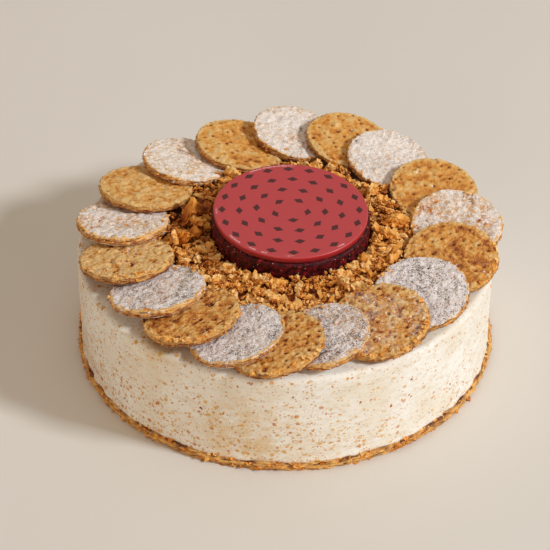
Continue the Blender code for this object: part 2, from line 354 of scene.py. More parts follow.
def iceCreamDrum():
    look, foot, edge = iceCream, creamLow.z - 0.3 * mm, creamRadius - 0.1 * mm
    profile = [(0, foot), (edge - 8 * mm, foot), (edge - 1.5 * mm, foot), (edge, foot)]
    profile += [(edge, height) for height in between(foot, creamTop - look["edge"], look["rows"])]
    profile += softEdge(edge, creamTop, look["edge"], 8)
    profile += [(reach, creamTop) for reach in between(edge - look["edge"], look["middle"], look["topRows"])]
    bm = turned(profile + [(0, creamTop)], look["steps"])
    for vert in bm.verts:
        reach, angle = polar(vert.co)
        if reach < look["middle"] / 2:
            continue
        x, y, z = look["girth"] * cos(angle), look["girth"] * sin(angle), vert.co.z
        push = bumps(x, y, z * 1.5, look["dents"])
        push += bumps(x * 0.25, y * 0.25, z * 2.2, look["scrape"], 2) + bumps(x, y, z, look["grit"], 2)
        low = 1 - smooth(z, foot, foot + 3.5 * mm)  # where it sags over the sheet
        push += low * (0.5 + 0.9 * rough(x, y, 0.1, 7 * mm, 2)) * mm
        push *= smooth(reach, edge - look["edge"], edge - 0.4 * mm)
        vert.co += ways(angle)[0] * push
        if z > creamTop - 2 * mm:
            vert.co.z += bumps(vert.co.x, vert.co.y, 0.3, look["ripples"], 2) - 0.12 * mm
    shown(meshOf(bm, "iceCreamDrum"), creamFinish(), ["ice_cream"])


# baked pastry, for the sheet and the rounds

pastry = {
    "pale": "f4c780",
    "gold": "eda748",
    "tan": "d17f2a",
    "brown": "9d480b",
    "dark": "5c2203",
    # painted shade in holes, cracks, creases and the rim's recesses
    "hole": "6a2706",
    "flaky": "fad597",
    "rusty": "bb5510",
    "rimDark": "8c3d0c",
    "rimPale": "f9c06a",
    "sugar": "f9eee9",
    "sugarCream": "f9ebdb",
    # painted shade between the sugar's clumps
    "sugarGapShade": "543f36",
    # painted shade in the sugar's cracks and holes
    "crackAndHoleShade": "54341f",
    "sugarBare": "dca768",
}


def pastryFinish(name, pale=0.0):
    made = Finish(name)
    toast, pit, side = made.own("toast"), made.own("pit"), made.own("side")
    fine = made.noise(1.0, 4, 0.7)
    mottle = made.own("mottle")
    blotch = (fine - 0.5) * 0.7 + (made.noise(2.0, 3, 0.6) - 0.5) * 1.1
    blotch = blotch + (made.noise(4.2, 4, 0.6) - 0.5) * 1.6
    baked = toast + blotch * mottle - pale
    colour = made.node("ValToRGB", {"stops": (
        (0.0, pastry["pale"]), (1.0, pastry["dark"]), (0.3, pastry["gold"]),
        (0.52, pastry["tan"]), (0.75, pastry["brown"]),
    )}, {0: baked})
    rusty = made.noise(1.9, 4, 0.7).ease(0.57, 0.68) * mottle * mottle * 0.5
    colour = made.mix(rusty.least(1), colour, pastry["rusty"])
    flaky = made.noise(1.5, 4, 0.75, warp=0.3).ease(0.56, 0.66) * mottle * 0.7
    colour = made.mix(flaky.least(1), colour, pastry["flaky"])
    layers = made.noise(0.7, 3, 0.7, made.spot((0.14, 0.14, 1)))
    rim = made.mix((layers + (0.45 - toast) * 0.3).ease(0.36, 0.62), pastry["rimDark"], pastry["rimPale"])
    colour = made.mix(side * 0.8, colour, rim)
    # painted shade in holes, cracks, creases and the rim's recesses
    colour = made.mix(pit.least(1), colour, pastry["hole"])
    return made, colour, fine, layers, side


def plainPastry():
    made, colour, fine, layers, side = pastryFinish("plainPastry")
    near, pick = made.cells(2.0)[:2]
    dust = made.own("dust")
    grain = pick.below(dust * 0.4) * (1 - (near + fine * 0.3).ease(0.36, 0.52))
    smear = (made.noise(1.3, 4, 0.75) + dust * 0.1).ease(0.6, 0.72) * dust.ease(0.05, 0.6) * 0.32
    colour = made.mix(grain.most(smear) * 0.95, colour, pastry["sugarCream"])
    relief = made.noise(0.75, 4, 0.7) + fine * 0.9 + made.noise(2.2, 3, 0.6) * 1.4 + layers * side
    return made.paint(colour, 0.36 + fine * 0.4, relief, 1.0, 0.55)


def sugaredPastry():
    made, colour, fine, layers, side = pastryFinish("sugaredPastry", 0.05)
    grit = made.noise(0.78, 3, 0.8)
    clumps = made.noise(3.0, 4, 0.7) - 0.5
    clouds = made.noise(8.0, 3, 0.6) - 0.5
    grey = made.own("grey")
    cover = made.own("sugar") + (made.noise(1.4, 4, 0.75) - 0.5) * 1.6 + clumps
    # dark speckle of painted shade between the sugar's clumps, more where the sugar is grey
    speckle = (1 - (grit + clumps * 0.36 + clouds * 0.4).ease(0.385, 0.495)) * grey
    white = made.mix(grey, pastry["sugarCream"], pastry["sugar"])
    white = made.mix(speckle, white, pastry["sugarGapShade"])
    bare = made.own("bare")
    golden = (made.noise(2.3, 5, 0.75) * 1.5 + clumps * 0.3 + bare * 0.3).ease(0.8, 1.0)
    white = made.mix(golden * (0.65 + bare * 1.5 - grey * 0.4), white, pastry["sugarBare"])
    colour = made.mix(cover.ease(0.18, 0.62), colour, white)
    # painted shade in the sugar's cracks and holes
    colour = made.mix((made.own("pit") - 0.25).most(0) * 1.3, colour, pastry["crackAndHoleShade"])
    relief = grit * (0.4 + grey * 0.6) + clumps * 1.3 + fine + layers * side
    return made.paint(colour, 0.85, relief, 0.85, 0.4)


# the ring of pastry rounds

pastryRounds = {
    "cells": 116,
    "layers": 7,
    "rim": ((0.4 * mm, 0.5), (0.55 * mm, 0.09)),  # how far it wanders, over how much of the radius
    "waves": (0.66 * mm, 3.4 * mm),  # how high, how wide
    "swell": (0.45 * mm, 17 * mm),
    "blister": (0.85 * mm, 6.5 * mm),
    "crease": (0.65 * mm, 2.5 * mm),
    "holePitch": {2: (4.7, 9.4), 10: (5.8, 5.4), 12: (6.4, 6.2), 14: (6.2, 7.0), 18: (4.7, 8.6)},
    "otherPitch": (5.5, 9.0),
    "hole": (0.9 * mm, 0.62 * mm),
    "plain": {  # number of the round: how ridged, baked, dusted with sugar, mottled, and how deep its holes
        2: (0.1, 0.33, 0.05, 0.38, 1.0), 4: (0.3, 0.19, 0.05, 0.9, 0.5), 6: (0.85, -0.06, 0.7, 1.6, 0.1),
        8: (1.15, 0.29, 0.0, 1.0, 0.0), 10: (0.15, 0.32, 0.15, 0.95, 1.15), 12: (0.3, 0.35, 2.5, 1.15, 1.1),
        14: (0.2, 0.44, 0.4, 0.75, 0.9), 16: (0.2, 0.38, 0.14, 0.45, 0.8), 18: (0.1, 0.3, 0.05, 0.36, 1.15),
    },
    "sugared": {  # number of the round: how ridged, how bare of sugar, how grey the sugar with painted shade between its clumps
        1: (0.1, 0.13, 0.36), 3: (0.0, 0.18, 0.15), 5: (0.4, 0.3, 0.4), 7: (0.45, 0.1, 0.85),
        9: (0.0, 0.08, 0.95), 11: (0.15, 0.25, 1.15), 13: (0.0, 0.08, 1.0), 15: (0.2, 0.4, 0.5),
        17: (0.1, 0.1, 0.45),
    },
    "bareFront": {5: 0.05, 7: 0.085, 9: 0.05, 11: 0.03, 3: 0.03},  # share of the radius bare in front
    "cracks": {  # number of the round: where, in mm from the middle of the cake, and how far they reach
        1: ((12, 80, 8), (9, 92, 5)), 15: ((98, 26, 7),), 17: ((61, 62, 4), (38, 76, 3)), 7: ((-67, -34, 5),),
    },
    "blisters": {6: ((-86, -30, 3.2), (-66, -22, 1.8)), 12: ((60, -72, 2.2),)},
    "rimFlakes": 105,
    "rimFlakeSize": (0.9, 3.4, 1.2),  # from, to and mostly, in mm
    "torn": {  # number of the round: where its rim is torn in degrees, over how many, by how many flakes
        6: ((-80, 35, 30),), 8: ((-85, 30, 54),), 10: ((-65, 26, 56),), 12: ((-50, 40, 50),),
        14: ((-30, 30, 24),),
    },
    "tornSize": (1.5, 6, 2),
}


def pastryRound(disc, number, material, slot):
    look = pastryRounds
    chance = random.Random(seed * 31 + number)
    plain, bare, dust, baked, grey, mottle, holes = number in look["plain"], 0, 0, 0.4, 0, 0.8, 0.2
    if plain:
        ridged, baked, dust, mottle, holes = look["plain"][number]
    else:
        ridged, bare, grey = look["sugared"][number]
    radius, half, shift = disc.radius, disc.half, number * 0.37
    rows, ridges = chance.uniform(0, pi), chance.uniform(0.6, 0.95) - disc.angle
    offset = Vector((chance.uniform(0, 5), chance.uniform(0, 9))) * mm
    pitch = [gap * mm for gap in look["holePitch"].get(number, look["otherPitch"])]
    laying = disc.matrix()
    toRound = laying.inverted()
    cracks, blisters = [
        [
            (toRound @ Vector((x * mm, y * mm, disc.middle[2])), reach * mm)
            for x, y, reach in look[kind].get(number, ())
        ] for kind in ("cracks", "blisters")
    ]
    bm = bmesh.new()
    names = ("toast", "pit", "side", "sugar", "dust", "mottle", "grey", "bare")
    marks = {name: bm.verts.layers.float.new(name) for name in names}
    bmesh.ops.create_grid(bm, x_segments=look["cells"], y_segments=look["cells"], size=1)

    def outline(angle):  # the rim isn't a true circle
        wander, nibble = look["rim"]
        return bumps(cos(angle), sin(angle), shift, wander) + bumps(cos(angle), sin(angle), shift, nibble, 3)

    def ripple(angle, level, grain, octaves=1):  # rough along the rim
        return rough(cos(angle), sin(angle), level, grain, octaves)

    def relief(x, y):  # height over the flat top, how much painted shade goes in its holes, cracks and creases, how deep in a crease
        height = bumps(x, y, shift, look["waves"], 3) + bumps(x, y, shift, look["swell"])
        high, wide = look["blister"]
        apart, spots = noise.voronoi(Vector((x, y, shift * mm)) / wide)
        grown = noise.cell(spots[0] * 7)
        height += plain * high * max(0, 1 - (apart[0] / (0.25 + 0.3 * grown)) ** 2) * grown
        along = x * cos(ridges) + y * sin(ridges)
        across = y * cos(ridges) - x * sin(ridges)
        deep, wide = look["crease"]
        crease = smooth(rough(along * 0.36, across, shift, wide, 2), 0.15, 0.55)
        crease *= smooth(rough(x, y, shift + 9, 8 * mm), -0.25, 0.15)
        height -= ridged * deep * crease
        for middle, reach in blisters:
            share = hypot(x - middle.x, y - middle.y) / reach + 0.25 * rough(x, y, shift, 2 * mm)
            height += 0.45 * reach * sqrt(max(0, 1 - share * share))
            height -= 0.3 * mm * max(0, 1 - abs(share - 1.1) * 4)
        split = 0
        for middle, reach in cracks:
            vein = max(0, 1 - abs(rough(x, y, shift + 11, 4 * mm, 2)) * 8)
            split = max(split, vein * (1 - smooth(hypot(x - middle.x, y - middle.y), 0.5 * reach, reach)))
        height -= 0.35 * mm * split
        rowX = x * cos(rows) + y * sin(rows) + offset.x
        rowY = y * cos(rows) - x * sin(rows) + offset.y
        line = round(rowY / pitch[1])
        cell = round(rowX / pitch[0] - 0.5 * (line % 2))
        wander = noise.cell_vector(Vector((cell + 0.5, line + 0.5, number + 0.5)))
        holeX = (cell + 0.5 * (line % 2) + 0.5 * (wander.x - 0.5)) * pitch[0]
        holeY = (line + (0.2 + 0.3 * (pitch[1] < 7 * mm)) * (wander.y - 0.5)) * pitch[1]
        gap = hypot(rowX - holeX, rowY - holeY)
        deep, wide = look["hole"]
        pit = (0.35 + 0.85 * wander.z) * exp(-((gap / wide) ** 2))
        height -= holes * (deep * pit + 0.16 * mm * exp(-((gap / (1.5 * mm)) ** 2)))
        height += holes * 0.2 * mm * exp(-(((gap - 2.1 * mm) / (0.8 * mm)) ** 2))
        return height, holes * pit + 0.9 * split + 0.36 * plain * ridged * crease * crease, ridged * crease

    for vert in bm.verts:  # the square grid is eased into a disc
        x, y = vert.co.x, vert.co.y
        vert.co.x, vert.co.y = x * sqrt(1 - y * y / 2), y * sqrt(1 - x * x / 2)
        share, angle = polar(vert.co)
        vert.co *= radius - 0.5 * mm + outline(angle) * share ** 3
        height, pit, crease = relief(vert.co.x, vert.co.y)
        edge = smooth(share, 0.87, 1.0)
        vert.co.z = half + height - 0.3 * mm * edge
        patch = rough(vert.co.x, vert.co.y, shift + 3, 7 * mm, 2)
        # darker in creases and dips, paler on bumps and towards the edge: part baking colour, part painted
        # shade and painted highlight
        vert[marks["toast"]] = baked + 0.24 * patch - 0.34 * edge + 0.5 * crease - height / mm * 0.34
        vert[marks["pit"]] = min(1, pit * 1.2)
        worn = 0.8 * bare + 0.5 * max(0, patch) * (bare > 0.07) + 0.9 * crease
        front = max(0, -disc.out[1] * cos(angle) - disc.side[1] * sin(angle))
        dusted = share + 0.06 * rough(x, y, shift + 5, 0.2, 3) + look["bareFront"].get(number, 0) * front
        vert[marks["sugar"]] = (1 - 0.85 * smooth(dusted, 0.965, 1.025)) * (1 - worn)
        vert[marks["bare"]] = min(0.35, bare * max(0, 1 + 2.2 * rough(x, y, shift + 6, 0.7)))
        spread = rough(vert.co.x, vert.co.y, shift + 7, 8 * mm)
        vert[marks["dust"]] = dust * max(0, 0.5 + spread) * (1 - smooth(share, 0.92, 1.0))
    ring = [edge for edge in bm.edges if edge.is_boundary]
    steps = [(0.1 * mm, 0.62)]
    steps += [(0, 0.62 - 1.47 * step / look["layers"]) for step in range(1, look["layers"])]
    steps += [(0.35 * mm, -1.0), (3.0 * mm, -1.0)]
    for layer, (inset, rise) in enumerate(steps):  # the rim goes down in flaky layers
        grown = bmesh.ops.extrude_edge_only(bm, edges=ring)["geom"]
        ring = [item for item in grown if isinstance(item, bmesh.types.BMEdge) and item.is_boundary]
        outer = inset < 1 * mm
        for vert in {vert for edge in ring for vert in edge.verts}:
            angle = polar(vert.co)[1]
            flake = 0.62 * ripple(angle, layer * 0.9 + shift, 0.2, 3) + 0.2 * ripple(angle, layer * 3.1, 0.6)
            flake -= 0.9 * max(0, ripple(angle, layer * 1.7 + shift + 4, 0.45, 2) - 0.28)
            reach = radius + outline(angle) - inset + outer * flake * mm
            level = half * rise + 0.22 * mm * ripple(angle, layer * 0.7 + shift, 0.16, 2)
            vert.co = (reach * cos(angle), reach * sin(angle), level)
            vert[marks["side"]] = 1 if outer else 0.5
            # the rim is painted darker towards its foot and paler at its top: painted shade and painted light
            vert[marks["toast"]] = 0.45 - 0.3 * rise + 0.4 * ripple(angle, layer * 0.8, 0.14, 2)
            # painted shade where a layer is pushed in
            vert[marks["pit"]] = max(0, -flake * 1.6 - 0.15)
            spilt = 0.7 * (rise < -0.7) + (rise > 0.6) * (0.25 + 0.9 * ripple(angle, shift + 5, 0.3, 3))
            vert[marks["sugar"]] = 0.12 + 0.45 * ripple(angle, layer * 0.4 + 5, 0.2, 2) + spilt
            vert[marks["dust"]] = 0
    bmesh.ops.edgeloop_fill(bm, edges=ring)
    for vert in bm.verts:
        vert[marks["mottle"]], vert[marks["grey"]] = mottle, grey
    bm.transform(laying)
    shown(meshOf(bm, "pastryRound%02d" % number), material, [disc.node])


def layRounds():
    finishes = (plainPastry(), "plain_pastry"), (sugaredPastry(), "sugared_pastry")
    for number, disc in enumerate(rounds, 1):
        pastryRound(disc, number, *finishes[number % 2])


# the pastry sheet under the ice cream

pastrySheet = {
    "steps": 620,
    "layers": 9,
    "ragged": 1.35 * mm,
    "lift": 0.9 * mm,
    "flakes": 800,
    "flakeSize": (1.2, 5.5, 2.0),  # from, to and mostly, in mm
}


def sheetFinish():
    made, colour, fine, layers, side = pastryFinish("sheetPastry", 0.06)
    relief = fine + made.noise(0.7, 4, 0.7) + layers * side
    return made.paint(colour, 0.5 + fine * 0.35, relief, 0.8, 0.4)


def pastrySheetPiece():
    look, thick, edge = pastrySheet, sheetHigh.z, (sheetHigh.x - sheetLow.x) / 2 - 0.4 * mm
    levels = [thick * step / look["layers"] for step in range(look["layers"] + 1)]
    profile = [(0, 0), (edge - 6 * mm, 0)] + [(edge, level) for level in levels]
    profile += [(edge - inset * mm, thick) for inset in (0.6, 1.2, 1.8, 2.6, 3.6, 5, 8)] + [(0, thick)]
    bm = turned(profile, look["steps"])
    marks = {name: bm.verts.layers.float.new(name) for name in ("toast", "pit", "side", "mottle")}
    for vert in bm.verts:
        reach, angle = polar(vert.co)
        x, y, z = cos(angle), sin(angle), vert.co.z
        near = smooth(reach, edge - 5 * mm, edge - 0.5 * mm)
        layer = round(z / thick * look["layers"])
        flake = rough(x, y, layer * 0.6, 0.05, 3)
        push = 0.5 * mm * rough(x, y, 0.4, 0.16, 2) + look["ragged"] * flake
        push -= 0.8 * mm * smooth(z, thick * 0.7, thick) + 0.9 * mm * (z < 0.1 * mm)
        vert.co += ways(angle)[0] * push * near
        if z > 0.1 * mm:
            vert.co.z += near * look["lift"] * rough(x, y, layer * 0.35, 0.03, 3) * (z / thick) ** 2
        vert.co.z = min(max(vert.co.z, 0), thick + 0.5 * mm)
        vert[marks["side"]] = near * 0.9 if 0 < layer < look["layers"] else near * 0.5
        vert[marks["toast"]] = 0.3 + 0.4 * rough(x, y, layer * 0.5, 0.06, 2)
        # painted shadow: a dark line on the top layers under the cream's edge, and painted shade where a
        # layer is pushed in
        gap = (layer >= look["layers"] - 1) * smooth(rough(x, y, 0.8, 0.11, 2), -0.25, 0.3)
        vert[marks["pit"]] = near * max(0, -flake * 2.2 - 0.1, 0.9 * gap)
        vert[marks["mottle"]] = 1.2
    shown(meshOf(bm, "pastrySheet"), sheetFinish(), ["pastry_sheet"])


# the fruit jelly and the red plaque on it

fruitJelly = {
    "steps": 220,
    "edge": 1.6 * mm,
    "lumps": (0.45 * mm, 5 * mm),      # how high, how wide
    "colour": "78121c",
    "deep": "220306",
    "bitsAndGlints": ((3.4, 0.22, "8c1820"), (1.9, 0.14, "c0262a"), (1.1, 0.11, "d8b8b0")),  # mm, share, shade; specks of fruit and sugar, and painted glints
}
redPlaque = {
    "steps": 160,
    "edge": 0.6 * mm,
    "warp": (0.06 * mm, 14 * mm),
    "colour": "bf4045",
    "edgeColour": "c4252c",
    "edgeShade": "8c1620",
    "print": "35161a",
    "printed": 39.4 * mm,    # how far out it is printed
    "ringGap": 9.0 * mm,     # from one ring of printed lozenges to the next
    "lozenge": (3.3 * mm, 2.1 * mm),
    "marks": 5,              # more in each ring than in the one inside it
    "scuff": "f0c8c4",
}


def plaqueRise(x, y):  # how high the plaque's underside stands over a place
    up, middle = plaqueDisc.up, plaqueDisc.middle - plaqueDisc.up * plaqueDisc.half
    return middle[2] - ((x - middle[0]) * up[0] + (y - middle[1]) * up[1]) / up[2]


def jellyFinish():
    look = fruitJelly
    made = Finish("fruitJelly", {"Specular IOR Level": 0.2})
    pulp = made.noise(2.6, 4, 0.65)
    colour = made.mix(pulp.ease(0.35, 0.75), look["deep"], look["colour"])
    # specks of fruit and sugar, and painted glints
    for grain, share, shade in look["bitsAndGlints"]:
        near, pick = made.cells(grain)[:2]
        colour = made.mix(pick.below(share) * (1 - near.ease(0.18, 0.3)) * 0.9, colour, shade)
    relief = made.noise(1.0, 3, 0.7) + pulp
    return made.paint(colour, 0.3 + pulp * 0.3, relief, 1.0, 0.5)


def jellyDisc():
    look, foot, top, edge = fruitJelly, jellyLow.z, jellyHigh.z - 1.2 * mm, jellyRadius - 0.3 * mm
    profile = [(0, foot), (edge - 6 * mm, foot), (edge - 0.6 * mm, foot)]
    profile += [(edge, level) for level in between(foot, top - look["edge"], 16)]
    profile += softEdge(edge, top, look["edge"], 4) + [(edge - inset * mm, top) for inset in (3, 5, 9)]
    bm = turned(profile + [(0, top)], look["steps"])
    for vert in bm.verts:
        reach, angle = polar(vert.co)
        x, y, z = vert.co
        push = bumps(x, y, z, look["lumps"], 2) * smooth(reach, edge - 3 * mm, edge - 0.2 * mm)
        under = plaqueRise(x + jellyMiddle.x, y + jellyMiddle.y) - 0.3 * mm - top
        vert.co += ways(angle)[0] * push + Vector((jellyMiddle.x, jellyMiddle.y, 0))
        vert.co.z += smooth(z, foot + 3 * mm, top - 1 * mm) * under
    shown(meshOf(bm, "fruitJelly"), jellyFinish(), ["fruit_jelly"])


def plaqueFinish():
    look = redPlaque
    made = Finish("redPlaque", {"Coat Weight": 0.15, "Coat Roughness": 0.25})
    middle, up = plaqueDisc.middle, plaqueDisc.up
    x, y, z = made.node("SeparateXYZ", {}, {0: made.spot(shift=tuple(-middle))}, out=(0, 1, 2))
    reach = (x * x + y * y) ** 0.5
    ring = (reach / look["ringGap"] + 0.5).floor()
    turn = y.maths("ARCTAN2", x) / tau + ring * 0.13
    count = (ring * look["marks"]).most(1)
    across = ((turn * count).part() - 0.5) / count * tau * reach.most(ring * look["ringGap"])
    inward = reach - ring * look["ringGap"]
    lozenge = across.size() / look["lozenge"][0] + inward.size() / look["lozenge"][1]
    worn = made.noise(0.7, 3, 0.7) * 0.35
    rise = x * up[0] + y * up[1] + z * up[2]
    face = rise.above(plaqueDisc.half - 0.35 * mm)
    printed = (1 - (lozenge + worn).ease(1.02, 1.2)) * face * ring.above(0.5) * reach.below(look["printed"])
    # the side is painted darker towards its foot: painted shade
    edge = made.mix(rise.ease(-0.5 * mm, 1.6 * mm), look["edgeShade"], look["edgeColour"])
    base = made.mix(face, edge, look["colour"])
    colour = made.mix(printed * 0.92, base, look["print"])
    inside = reach.ease(plaqueDisc.radius - 2.4 * mm, plaqueDisc.radius - 1.6 * mm)
    rim = inside * (1 - reach.ease(plaqueDisc.radius - 1.3 * mm, plaqueDisc.radius - 0.8 * mm))
    dashes = made.noise(10, 2).ease(0.56, 0.6) * made.noise(0.9, 3, 0.8).ease(0.35, 0.6)
    scuff = dashes * rim * face
    colour = made.mix(scuff * 0.8, colour, look["scuff"])
    roughness = 0.34 + made.noise(9, 3) * 0.12 + scuff * 0.3
    return made.paint(colour, roughness, made.noise(2.5, 3), 0.08, 0.2)


def plaquePiece():
    look, radius, half = redPlaque, plaqueDisc.radius + 0.15 * mm, plaqueDisc.half
    profile = [(0, -half), (radius - 4 * mm, -half), (radius - 0.3 * mm, -half), (radius, -half + 0.3 * mm)]
    profile += [(radius, level) for level in between(-half + 0.3 * mm, half - look["edge"], 3)]
    profile += softEdge(radius, half, look["edge"], 5)
    profile += [(reach, half) for reach in between(radius - look["edge"], 2 * mm, 14)]
    bm = turned(profile + [(0, half)], look["steps"])
    for vert in bm.verts:
        way = ways(polar(vert.co)[1])[0]
        vert.co.xy *= 1 + 0.004 * rough(way.x, way.y, 0.2, 0.3, 2)
        vert.co.z += bumps(vert.co.x, vert.co.y, 0.1, look["warp"])
    bm.transform(plaqueDisc.matrix())
    shown(meshOf(bm, "redPlaque"), plaqueFinish(), ["red_plaque"])


# crumbs and loose flakes

crumbs = {
    "colours": ((0.0, "6c2806"), (1.0, "fcd28c"), (0.24, "b96318"), (0.48, "ea9634"), (0.74, "f9b758")),
    "height": 8.9 * mm,
    "bank": 1.7 * mm,                # how much higher it is banked against the front of the jelly
    "reach": 87.5 * mm,              # how far out it goes where no round is in the way
    "coreDepth": 3.8 * mm,           # how far the core stays under the top of the heap
    "coreSteps": 320,
    "bigLumps": (130, 5.4, 10.5),    # how many, and from how many mm across to how many
    "leafyLumps": (110, 5.5, 12.0),
    "smallLumps": (330, 2.4, 5.2),
    "tries": 30000,                  # to find room for them
    "flakes": 0.13,                  # how many stick to a square mm of lump
    "flakeSize": (2.2, 5.5, 2.2),    # from, to and mostly, in mm
    "grainSize": (0.5, 1.3, 0.5),
    "filler": 1100,
    "fillerSize": (1.8, 4.4),
    "slivers": 60,
    "sliverSize": (4, 11, 5),
    "strays": 9,                     # how many lie on the inner edge of each round
    "straySize": (0.9, 4.2, 1.2),
    "longPieces": (  # x, y, angle, length in mm, width to length, tone
        # the three at the left are toned darker: painted shadow of the plaque
        (-47, 15, 48, 25, 0.34, 0.22), (-49, -5, 30, 17, 0.5, 0.26), (-46, 4, 160, 12, 0.5, 0.3),
        (58, 6, 4, 15, 0.3, 0.5), (52, -3, 152, 14, 0.4, 0.56),
        (-12, -44.5, 160, 9, 0.4, 0.76), (14, 56, 20, 12, 0.4, 0.6), (-58, -9, 100, 10, 0.35, 0.6),
        (30, -47, 120, 9, 0.4, 0.7), (47, 33, 60, 12, 0.35, 0.6), (-28, 49, 150, 12, 0.4, 0.6),
    ),
}


def outerReach(angle, room):  # how far out the heap goes before it meets a round
    nearest = crumbs["reach"]
    for disc in rounds:
        aside, ahead = disc.distance * sin(angle - disc.angle), disc.distance * cos(angle - disc.angle)
        reach = disc.radius + room
        if abs(aside) < reach and ahead > 0:
            nearest = min(nearest, ahead - sqrt(reach * reach - aside * aside))
    return nearest


def innerReach(angle, room):
    aside = jellyMiddle.x * sin(angle)
    return jellyMiddle.x * cos(angle) + sqrt((jellyRadius + room) ** 2 - aside * aside)


def heapTop(x, y, share):  # height of the heap over the ice cream
    tall = crumbs["height"] * (1.06 - 0.26 * smooth(share, 0.0, 1.1))
    tall += crumbs["bank"] * smooth(-y, 15 * mm, 42 * mm) * (1 - smooth(share, 0.05, 0.6))
    return tall + 0.9 * mm * rough(x, y, 0.4, 11 * mm)


def crumbFinish():
    made = Finish("pastryCrumbs", {"Specular IOR Level": 0.4})
    tone = made.own("tone") + (made.noise(1.5, 5, 0.72) - 0.5) * 0.7
    colour = made.node("ValToRGB", {"stops": crumbs["colours"]}, {0: tone})
    relief = made.noise(0.6, 4, 0.75)
    return made.paint(colour, 0.42 + relief * 0.3, relief, 0.8, 0.25)


def heapCore(material):
    look, foot = crumbs, creamTop + 0.1 * mm
    section = [(0, 0), (1, 0), (1, 0.3), (1, 0.7)]
    section += [(share, 1) for share in between(1.0, 0.0, 16)] + [(0, 0.6)]
    bm = turned([(1 + share, rise) for share, rise in section], look["coreSteps"], closed=True)
    tone = bm.verts.layers.float.new("tone")
    for vert in bm.verts:
        (out, angle), rise = polar(vert.co), vert.co.z
        share = out - 1
        reach = innerReach(angle, 0.5 * mm) * (1 - share) + outerReach(angle, 0.7 * mm) * share
        x, y = reach * cos(angle), reach * sin(angle)
        tall = (heapTop(x, y, share) - look["coreDepth"] + 0.8 * mm * rough(x, y, 0.2, 2 * mm, 2)) * rise
        vert.co = (x, y, foot + tall)
        # the core is dark: painted shade in the gaps between the crumbs
        vert[tone] = 0.05 + 0.2 * rough(x, y, 0.9, 2 * mm)
    shown(meshOf(bm, "crumbCore"), material, ["pastry_crumbs"])


def shape(bm):  # a small mesh as arrays, to be copied many times: places, faces, tones
    bmesh.ops.recalc_face_normals(bm, faces=bm.faces)
    bmesh.ops.triangulate(bm, faces=bm.faces)
    bm.verts.index_update()
    tone = bm.verts.layers.float["tone"]
    points = np.array([vert.co[:] for vert in bm.verts])
    tones = np.array([vert[tone] for vert in bm.verts])
    faces = np.array([[vert.index for vert in face.verts] for face in bm.faces])
    bm.free()
    return points, faces, tones


def lumpShape(chance, fine):  # a crumpled lump of thin layers, about 1 wide
    bm = bmesh.new()
    tone = bm.verts.layers.float.new("tone")
    bmesh.ops.create_icosphere(bm, subdivisions=fine, radius=0.5)
    shift = Vector([chance.uniform(0, 90) for _ in range(3)])
    bubbles = chance.uniform(1.2, 2.0)
    for vert in bm.verts:
        way = vert.co * 2
        bulge, fray = noise.noise(way * 1.2 + shift), noise.noise(way * 7.0 + shift)
        apart, spots = noise.voronoi(way * bubbles + shift + noise.noise_vector(way * 2 + shift) * 0.5)
        crease = 1 - smooth(apart[1] - apart[0], 0.02, 0.32)
        vert.co *= 1 + 0.7 * bulge - 0.45 * crease + 0.27 * fray
        # painted light: lighter on top, darker underneath and in creases, plus random spots
        vert[tone] = 0.3 * (noise.cell(spots[0] * 9) - 0.5) + 0.26 * way.z + 0.3 * fray - 0.5 * crease
    bm.transform(Matrix.Diagonal((1, chance.uniform(0.6, 0.95), chance.uniform(0.5, 0.8), 1)))
    return shape(bm)


def plate(bm, chance, steps, thin, width, rise=0.0, loose=0.9):  # a broken, bent layer, about 1 long
    start = len(bm.verts)
    tone = bm.verts.layers.float.get("tone") or bm.verts.layers.float.new("tone")
    bmesh.ops.create_grid(bm, x_segments=steps[0], y_segments=steps[1], size=0.5)
    bm.verts.ensure_lookup_table()
    bend, twist = chance.uniform(-loose, loose), chance.uniform(-loose, loose)
    aside = Vector((chance.uniform(-0.12, 0.12), chance.uniform(-0.12, 0.12) * width, rise))
    ragged = 0.4 / steps[0]
    skin = bm.verts[start:]
    for vert in skin:
        x = vert.co.x + chance.uniform(-ragged, ragged)
        y = (vert.co.y + chance.uniform(-0.15, 0.15)) * width
        corner = 1 - 0.4 * (abs(vert.co.x * 2) * abs(vert.co.y * 2)) ** 2
        height = bend * (x * x - 0.1) + twist * x * y + chance.uniform(-0.3, 0.3) * thin
        vert.co = Vector((x * corner, y * corner, height)) + aside
        vert[tone] = chance.uniform(-0.06, 0.02)
    faces = {face for vert in skin for face in vert.link_faces}
    grown = bmesh.ops.extrude_face_region(bm, geom=list(faces))["geom"]
    for vert in grown:
        if isinstance(vert, bmesh.types.BMVert):
            vert.co.z += thin * chance.uniform(0.5, 1.5)
            # the top layer is painted lighter than the underside: painted light
            vert[tone] += 0.1


def rippled(bm, chance, bend, curl, wave):  # bends a stack of layers as one
    tone, shift = bm.verts.layers.float["tone"], Vector([chance.uniform(0, 90) for _ in range(3)])
    for vert in bm.verts:
        x, y, ripple = vert.co.x, vert.co.y, noise.fractal(vert.co * 3.2 + shift, 0.8, 2.0, 3)
        vert.co.z += bend * (x * x - 0.1) - curl * y * y + wave * ripple
        # painted light: higher parts lighter, lower darker
        vert[tone] += 0.28 * ripple + 0.35 * vert.co.z


def leafyShape(chance):  # a chunk of thin, bent layers, about 1 long
    bm = bmesh.new()
    wide, layers = chance.uniform(0.5, 0.95), chance.choice((4, 5, 6))
    for level in range(layers):
        share = chance.uniform(0.55, 1.0)
        plate(bm, chance, (7, 4), 0.05, wide * share, (level - layers / 2) * 0.09, 0.25)
    rippled(bm, chance, chance.uniform(-0.9, 0.5), chance.uniform(-0.4, 0.8), 0.26)
    return shape(bm)


def flakeShape(chance, thin=0.09):
    bm = bmesh.new()
    plate(bm, chance, (chance.choice((2, 3)), 1), thin, chance.uniform(0.35, 0.8))
    return shape(bm)


